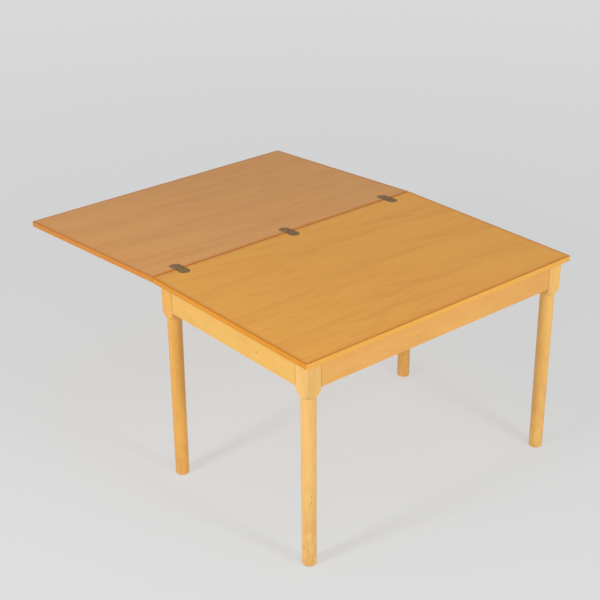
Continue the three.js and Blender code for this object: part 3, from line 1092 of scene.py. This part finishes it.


# Each leg's tones were set to how bright that leg looks. Part of the tone is the leg's own
# beech, and part is painted light and shade, so the legs are lit and shaded copies of one beech.
LEG_TONES_AND_PAINTED_LIGHT = {
    "outer_back": ((0.89, 0.505, 0.124, 1), (0.80, 0.400, 0.081, 1)),
    "joint_back": ((0.86, 0.450, 0.100, 1), (0.77, 0.360, 0.066, 1)),
    "joint_front": ((0.80, 0.405, 0.072, 1), (0.71, 0.324, 0.048, 1)),
    "outer_front": ((0.84, 0.505, 0.150, 1), (0.75, 0.404, 0.096, 1)),
}
for i, (name, tones) in enumerate(LEG_TONES_AND_PAINTED_LIGHT.items()):
    low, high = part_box(f"leg_{name}")
    finish = beech_material(
        f"leg beech {name}",
        turn=(0.012 * (i - 1.5), 0.010 * (2 - i), 0.7 * i),
        shift=(0.05 + 0.013 * i, -0.06 + 0.02 * i, 0.3 * i),
        tones=tones,
        ring_spacing=0.0055,
    )
    new_piece(
        f"turned_leg_{name}",
        leg_shape((low + high) / 2),
        finish,
        "table",
        "beech_frame",
        f"leg_{name}",
    )

# ---- Aprons ----
# Four straight beech boards join the leg heads, all but flush with their outer faces. Each
# ends in a stub tenon inside the leg head, and its long arrises are just eased.

# Each apron's tones were set to how bright that apron looks. Part of the tone is the board's own
# beech, and part is painted light and shade from the way its face is lit.
APRON_TONES_AND_PAINTED_LIGHT = {
    "front": ((0.80, 0.452, 0.087, 1), (0.715, 0.357, 0.057, 1)),
    "back": ((0.80, 0.440, 0.088, 1), (0.71, 0.345, 0.058, 1)),
    "joint": ((0.81, 0.450, 0.095, 1), (0.72, 0.355, 0.062, 1)),
    "outer": ((0.81, 0.415, 0.088, 1), (0.733, 0.333, 0.060, 1)),
}
# How dark the painted shade is against the leg head at each apron's low and high end.
HEAD_SEAM_SHADE = {
    "front": (0.75, 0.22),
    "back": (0.6, 0.6),
    "joint": (0.6, 0.6),
    "outer": (0.22, 0.75),
}
APRON_ARRIS = 0.0008
FRAME_MIDDLE = (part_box("leg_joint_front")[0].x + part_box("leg_outer_front")[1].x) / 2
HEAD_GAP_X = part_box("leg_outer_front")[0].x - FRAME_MIDDLE
HEAD_GAP_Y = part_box("leg_outer_back")[0].y

for i, (name, tones) in enumerate(APRON_TONES_AND_PAINTED_LIGHT.items()):
    runs_along_y = name in ("joint", "outer")
    low_seam_shade, high_seam_shade = HEAD_SEAM_SHADE[name]
    seam_shade = {
        "Middle": 0.0 if runs_along_y else FRAME_MIDDLE,
        "Half Length": HEAD_GAP_Y if runs_along_y else HEAD_GAP_X,
        "Low End": low_seam_shade,
        "High End": high_seam_shade,
    }
    grain_from_y = (math.pi / 2 + 0.010, 0.006, 0.0)
    grain_from_x = (0.008, -math.pi / 2 + 0.012, 0.0)
    finish = beech_material(
        f"apron beech {name}",
        turn=grain_from_y if runs_along_y else grain_from_x,
        shift=(0.07 + 0.02 * i, 0.045 + 0.03 * i, 0.4 * i),
        tones=tones,
        ring_spacing=0.0065,
        seams=(1 if runs_along_y else 0, seam_shade),
    )
    board = new_piece(
        f"apron_board_{name}",
        merged_copy(f"apron_{name}"),
        finish,
        "table",
        "beech_frame",
        f"apron_{name}",
    )
    soften_edges(board, APRON_ARRIS, segments=3)

# ---- Hinges ----
# Three counter-flap hinges of tarnished brass are let in flush. Each plate has a round end and
# two lugs, a link lies in the slot between the lugs, and steel pins hold the link.

PLATE_THICKNESS = 0.003
PLATE_EASE = 0.00035
LINK_EASE = 0.0003
PLATE_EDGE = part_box("hinge_plate_top_1")[0].x
PLATE_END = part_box("hinge_plate_top_1")[1].x
KNUCKLE_LENGTH = 0.0065
PIN_OFFSET = 0.0033
PIN_DEPTH = 0.003
PIN_BORE = 0.0015
LINK_SLOT_END = 0.0092
SCREW_PLACES = (0.017, 0.034)
SCREW_HEAD = 0.004
SCREW_LIP = 0.0005
SINK_FALL = 0.0022
SINK_ROOM = 0.0002
SINK_STEPS = 36
BORE_STEPS = 24
CORNER_ARC_STEPS = 8
END_ARC_STEPS = 32
PAST_FACE = 0.001  # how far a cutter reaches beyond the face it opens
JOINT_CORNER = 0.005


def brass_material(name, pale, deep, patina):
    """Old brass, browned all over, with darker blotches and fine rubbed scratches."""
    material, tree = empty_material(name)
    place = node(tree, "ShaderNodeTexCoord").outputs["Object"]
    cloud = stretched_noise(tree, place, (90.0, 90.0, 90.0), detail=4.0, roughness=0.6)
    spots = stretched_noise(tree, place, (420.0, 420.0, 420.0), detail=3.0)
    rubbed = stretched_noise(tree, place, (300.0, 2600.0, 900.0), distortion=0.4)
    toned = mix_colour(tree, ramp(tree, cloud, 0.35, 0.65), pale, deep)
    aged = mix_colour(tree, times(tree, ramp(tree, spots, 0.52, 0.70), 0.6), toned, patina)
    rough = add(tree, times(tree, rubbed, 0.22), 0.42)
    rougher = add(tree, times(tree, ramp(tree, spots, 0.5, 0.7), 0.12), rough)
    finished_surface(tree, aged, rougher, rubbed, 0.00003, metallic=0.88)
    return material


AGED_BRASS = brass_material(
    "aged brass", (0.44, 0.265, 0.105, 1), (0.30, 0.175, 0.066, 1), (0.16, 0.100, 0.040, 1)
)


def prism(outline, low, high, upright=True):
    """A bmesh of an outline stood between two heights, or swept between two places on Y."""
    shape = bmesh.new()
    ends = []
    for level in (low, high):
        ends.append([
            shape.verts.new((a, b, level) if upright else (a, level, b)) for a, b in outline
        ])
    for i in range(len(outline)):
        j = (i + 1) % len(outline)
        shape.faces.new((ends[0][i], ends[0][j], ends[1][j], ends[1][i]))
    shape.faces.new(ends[0][::-1])
    shape.faces.new(ends[1])
    bmesh.ops.recalc_face_normals(shape, faces=shape.faces)
    return shape


def arc(centre, radius, start, end, steps):
    """Points along an arc, both ends included, with angles in degrees."""
    return [
        (
            centre[0] + radius * math.cos(math.radians(start + (end - start) * i / steps)),
            centre[1] + radius * math.sin(math.radians(start + (end - start) * i / steps)),
        )
        for i in range(steps + 1)
    ]


def turned_cutter(profile, centre, steps):
    """A bmesh of a profile of (radius, height) turned round an upright axis, with flat ends."""
    shape = bmesh.new()
    rings = []
    for radius, height in profile:
        rings.append([
            shape.verts.new((
                centre[0] + radius * math.cos(2 * math.pi * i / steps),
                centre[1] + radius * math.sin(2 * math.pi * i / steps),
                height,
            ))
            for i in range(steps)
        ])
    for ring, above in zip(rings, rings[1:]):
        for i in range(steps):
            j = (i + 1) % steps
            shape.faces.new((ring[i], ring[j], above[j], above[i]))
    shape.faces.new(rings[0][::-1])
    shape.faces.new(rings[-1])
    bmesh.ops.recalc_face_normals(shape, faces=shape.faces)
    return shape


def plate_shape(y):
    """A hinge plate of the fixed half with its two lugs, centred on y along the joint."""
    half_width = HINGE_WIDTH / 2
    round_centre = (PLATE_END - half_width, y)
    inner = half_width - JOINT_CORNER
    corner_x = PLATE_EDGE + JOINT_CORNER
    plan = arc((corner_x, y - inner), JOINT_CORNER, 180, 270, CORNER_ARC_STEPS)
    plan += arc(round_centre, half_width, -90, 90, END_ARC_STEPS)
    plan += arc((corner_x, y + inner), JOINT_CORNER, 90, 180, CORNER_ARC_STEPS)
    plate = prism(plan, TOP_FACE - PLATE_THICKNESS, TOP_FACE)
    slot_half = LINK_WIDTH / 2 + FIT
    above = TOP_FACE + PAST_FACE
    cutters = [
        block(
            (PLATE_EDGE - PAST_FACE, y - slot_half, TOP_FACE - KNUCKLE_HEIGHT),
            (LINK_SLOT_END, y + slot_half, above),
        )
    ]
    for x in SCREW_PLACES:
        sink = [
            (SCREW_HEAD - SINK_FALL, TOP_FACE - PLATE_THICKNESS - PAST_FACE),
            (SCREW_HEAD - SINK_FALL, TOP_FACE - SCREW_LIP - SINK_FALL),
            (SCREW_HEAD + SINK_ROOM, TOP_FACE - SCREW_LIP + SINK_ROOM),
            (SCREW_HEAD + SINK_ROOM, above),
        ]
        cutters.append(turned_cutter(sink, (x, y), SINK_STEPS))
    last_turn = 360 - 360 / BORE_STEPS
    bore = arc((PIN_OFFSET, TOP_FACE - PIN_DEPTH), PIN_BORE, 0, last_turn, BORE_STEPS - 1)
    cutters.append(prism(bore, y - half_width - FIT, y + half_width + FIT, upright=False))
    lug_end = PLATE_EDGE + KNUCKLE_LENGTH
    lug_length = half_width - slot_half - JOINT_CORNER
    lugs = [
        block(
            (PLATE_EDGE, low_y, TOP_FACE - KNUCKLE_HEIGHT),
            (lug_end, low_y + lug_length, TOP_FACE - PLATE_THICKNESS / 2),
        )
        for low_y in (y - half_width + JOINT_CORNER, y + slot_half)
    ]
    return carve(plate, cutters, lugs)


for half, turn in TURN.items():
    for i, y in enumerate(HINGE_PLACES, start=1):
        shape = plate_shape(y * turn)
        shape.transform(HALVES[half])
        plate = new_piece(
            f"hinge_leaf_{half}_{i}",
            shape,
            AGED_BRASS,
            BODY[half],
            "aged_brass",
            f"hinge_plate_{half}_{i}",
        )
        soften_edges(plate, PLATE_EASE)

for i in (1, 2, 3):
    link = new_piece(
        f"hinge_centre_link_{i}",
        merged_copy(f"hinge_link_{i}"),
        AGED_BRASS,
        "hinge_links",
        "aged_brass",
        f"hinge_link_{i}",
    )
    soften_edges(link, LINK_EASE)

# ---- Hinge screws ----
# Two slotted countersunk brass screws hold each plate, their heads a hair below its face.
# They were driven by hand, so every slot stands at its own angle.

SLOT_WIDTH = 0.0011
SLOT_DEPTH = 0.0009
HEAD_SIDES = 40
SHANK_SIDES = 24
SCREW_LENGTH = 0.015
SCREW_HEAD_HEIGHT = 0.0024
SHANK_RADIUS = 0.002
POINT_RADIUS = 0.0004
TURN_SEEDS = {"top": 3, "leaf": 8}


def screw_tree():
    """Geometry nodes that stand one screw on each point of a mesh."""
    made = bpy.data.node_groups.new("slotted_screws", "GeometryNodeTree")
    made.interface.new_socket(name="Places", in_out="INPUT", socket_type="NodeSocketGeometry")
    for label, value in (
        ("Head Radius", SCREW_HEAD),
        ("Head Height", SCREW_HEAD_HEIGHT),
        ("Shank Radius", SHANK_RADIUS),
        ("Length", SCREW_LENGTH),
        ("Slot Width", SLOT_WIDTH),
        ("Slot Depth", SLOT_DEPTH),
    ):
        socket = made.interface.new_socket(
            name=label, in_out="INPUT", socket_type="NodeSocketFloat"
        )
        socket.default_value = value
    made.interface.new_socket(name="Turn Seed", in_out="INPUT", socket_type="NodeSocketInt")
    made.interface.new_socket(name="Finish", in_out="INPUT", socket_type="NodeSocketMaterial")
    made.interface.new_socket(name="Screws", in_out="OUTPUT", socket_type="NodeSocketGeometry")
    given = made.nodes.new("NodeGroupInput").outputs
    head_height = given["Head Height"]

    def lowered(geometry, distance):
        offset = node(made, "ShaderNodeCombineXYZ", {2: times(made, distance, -1.0)})
        moved = node(
            made,
            "GeometryNodeTransform",
            {"Geometry": geometry, "Translation": offset.outputs[0]},
        )
        return moved.outputs[0]

    head = node(
        made,
        "GeometryNodeMeshCone",
        {
            "Vertices": HEAD_SIDES,
            "Radius Top": given["Head Radius"],
            "Radius Bottom": given["Shank Radius"],
            "Depth": head_height,
        },
    )
    lip = node(
        made,
        "GeometryNodeMeshCylinder",
        {"Vertices": HEAD_SIDES, "Radius": given["Head Radius"], "Depth": SCREW_LIP},
    )
    shank = node(
        made,
        "GeometryNodeMeshCone",
        {
            "Vertices": SHANK_SIDES,
            "Radius Top": given["Shank Radius"],
            "Radius Bottom": POINT_RADIUS,
            "Depth": less(made, given["Length"], head_height),
        },
    )
    joined = node(made, "GeometryNodeMeshBoolean", operation="UNION", solver="EXACT")
    for part, drop in ((lip, SCREW_LIP / 2), (head, head_height), (shank, given["Length"])):
        made.links.new(lowered(part.outputs["Mesh"], drop), joined.inputs["Mesh 2"])
    slot_size = node(
        made,
        "ShaderNodeCombineXYZ",
        {
            0: times(made, given["Head Radius"], 3.0),
            1: given["Slot Width"],
            2: times(made, given["Slot Depth"], 2.0),
        },
    )
    slot = node(made, "GeometryNodeMeshCube", {"Size": slot_size.outputs[0]})
    slotted = node(
        made,
        "GeometryNodeMeshBoolean",
        {"Mesh 1": joined.outputs["Mesh"]},
        operation="DIFFERENCE",
        solver="EXACT",
    )
    made.links.new(slot.outputs["Mesh"], slotted.inputs["Mesh 2"])
    turn = node(
        made, "FunctionNodeRandomValue", {"Seed": given["Turn Seed"]}, data_type="FLOAT_VECTOR"
    )
    turn.inputs["Min"].default_value = (0, 0, 0)
    turn.inputs["Max"].default_value = (0, 0, math.pi)
    placed = node(
        made,
        "GeometryNodeInstanceOnPoints",
        {
            "Points": given["Places"],
            "Instance": slotted.outputs["Mesh"],
            "Rotation": turn.outputs["Value"],
        },
    )
    real = node(made, "GeometryNodeRealizeInstances", {"Geometry": placed.outputs[0]})
    painted = node(
        made,
        "GeometryNodeSetMaterial",
        {"Geometry": real.outputs[0], "Material": given["Finish"]},
    )
    leaving = made.nodes.new("NodeGroupOutput")
    made.links.new(painted.outputs[0], leaving.inputs["Screws"])
    return made


SCREW_TREE = screw_tree()


def grown(name, places, tree, settings):
    """A bmesh of what a geometry node tree makes from points, with its modifier gone."""
    mesh = bpy.data.meshes.new(name)
    mesh.from_pydata(places, [], [])
    made = bpy.data.objects.new(name, mesh)
    scene.collection.objects.link(made)
    modifier = made.modifiers.new(name, "NODES")
    modifier.node_group = tree
    for item in tree.interface.items_tree:
        if item.name in settings and item.in_out == "INPUT":
            modifier[item.identifier] = settings[item.name]
    depsgraph = bpy.context.evaluated_depsgraph_get()
    result_mesh = bpy.data.meshes.new_from_object(made.evaluated_get(depsgraph))
    shape = bmesh.new()
    shape.from_mesh(result_mesh)
    bpy.data.objects.remove(made)
    bpy.data.meshes.remove(result_mesh)
    return shape


for half, turn in TURN.items():
    places = [(x, y * turn, TOP_FACE) for y in HINGE_PLACES for x in SCREW_PLACES]
    screws = grown(
        f"screws_{half}",
        places,
        SCREW_TREE,
        {"Turn Seed": TURN_SEEDS[half], "Finish": AGED_BRASS},
    )
    screws.transform(HALVES[half])
    new_piece(
        f"hinge_screws_{half}",
        screws,
        AGED_BRASS,
        BODY[half],
        "aged_brass",
        *(f"hinge_screw_{half}_{i}_{j}" for i in (1, 2, 3) for j in (1, 2)),
    )

# ---- Pins, bolts and pivot ironwork ----
# Plain zinc-plated steel: the hinge pins, the bolt behind each leg, and the bolt, washer and
# insert on which the fixed half turns.

STEEL_EASE = 0.0004

def steel_material(name):
    """Dull zinc plating, clouded and finely scratched."""
    material, tree = empty_material(name)
    place = node(tree, "ShaderNodeTexCoord").outputs["Object"]
    cloud = stretched_noise(tree, place, (160.0, 160.0, 160.0), detail=4.0)
    scratch = stretched_noise(tree, place, (1800.0, 1800.0, 400.0))
    colour = mix_colour(
        tree, ramp(tree, cloud, 0.3, 0.7), (0.42, 0.42, 0.41, 1), (0.30, 0.30, 0.30, 1)
    )
    rough = add(tree, times(tree, scratch, 0.22), 0.24)
    finished_surface(tree, colour, rough, scratch, 0.00002, metallic=0.9)
    return material


STEEL = steel_material("zinc plated steel")
for cad_node, obj in frame["nodes"].items():
    if cad_node.startswith(("corner_bolt_", "pivot_bolt", "pivot_washer", "pivot_insert")):
        piece = new_piece(
            f"{cad_node}_steel", merged_copy(cad_node), STEEL, "table", "steel", cad_node
        )
        soften_edges(piece, STEEL_EASE)
    elif cad_node.startswith("hinge_pin_"):
        obj.data.materials.clear()
        obj.data.materials.append(STEEL)

# ---- Corner blocks and pivot rail ----
# Planed softwood left bare, out of sight under the top: a block across each inner corner of the
# frame, and the rail between the long aprons that carries the pivot.

SAWN_ARRIS = 0.0007

def softwood_material(name, turn):
    """Bare planed softwood. The turn brings the piece's grain to Z."""
    material, tree = empty_material(name)
    coordinates = node(tree, "ShaderNodeTexCoord")
    mapping = node(
        tree,
        "ShaderNodeMapping",
        {"Vector": coordinates.outputs["Object"], "Location": (0.05, 0.06, 0), "Rotation": turn},
    )
    wood = group_node(
        tree,
        beech_grain,
        {
            "Vector": mapping.outputs[0],
            "Pale": (0.72, 0.52, 0.29, 1),
            "Deep": (0.60, 0.37, 0.16, 1),
            "Fleck": (0.5, 0.3, 0.13, 1),
            "Ring Spacing": 0.0045,
            "Ring Strength": 0.8,
            "Fleck Strength": 0.1,
        },
    )
    finished_surface(
        tree, wood["Color"], add(tree, wood["Roughness"], 0.55), wood["Height"], 0.00012
    )
    return material


def softwood_piece(cad_node, turn):
    finish = softwood_material(f"softwood {cad_node}", turn)
    piece = new_piece(
        f"{cad_node}_wood", merged_copy(cad_node), finish, "table", "inner_softwood", cad_node
    )
    soften_edges(piece, SAWN_ARRIS)


for i, name in enumerate(LEG_TONES_AND_PAINTED_LIGHT):
    slope = math.pi / 4 if i % 2 else -math.pi / 4
    softwood_piece(f"corner_block_{name}", (math.pi / 2, 0.02, slope))
softwood_piece("pivot_rail", (0.01, -math.pi / 2, 0))
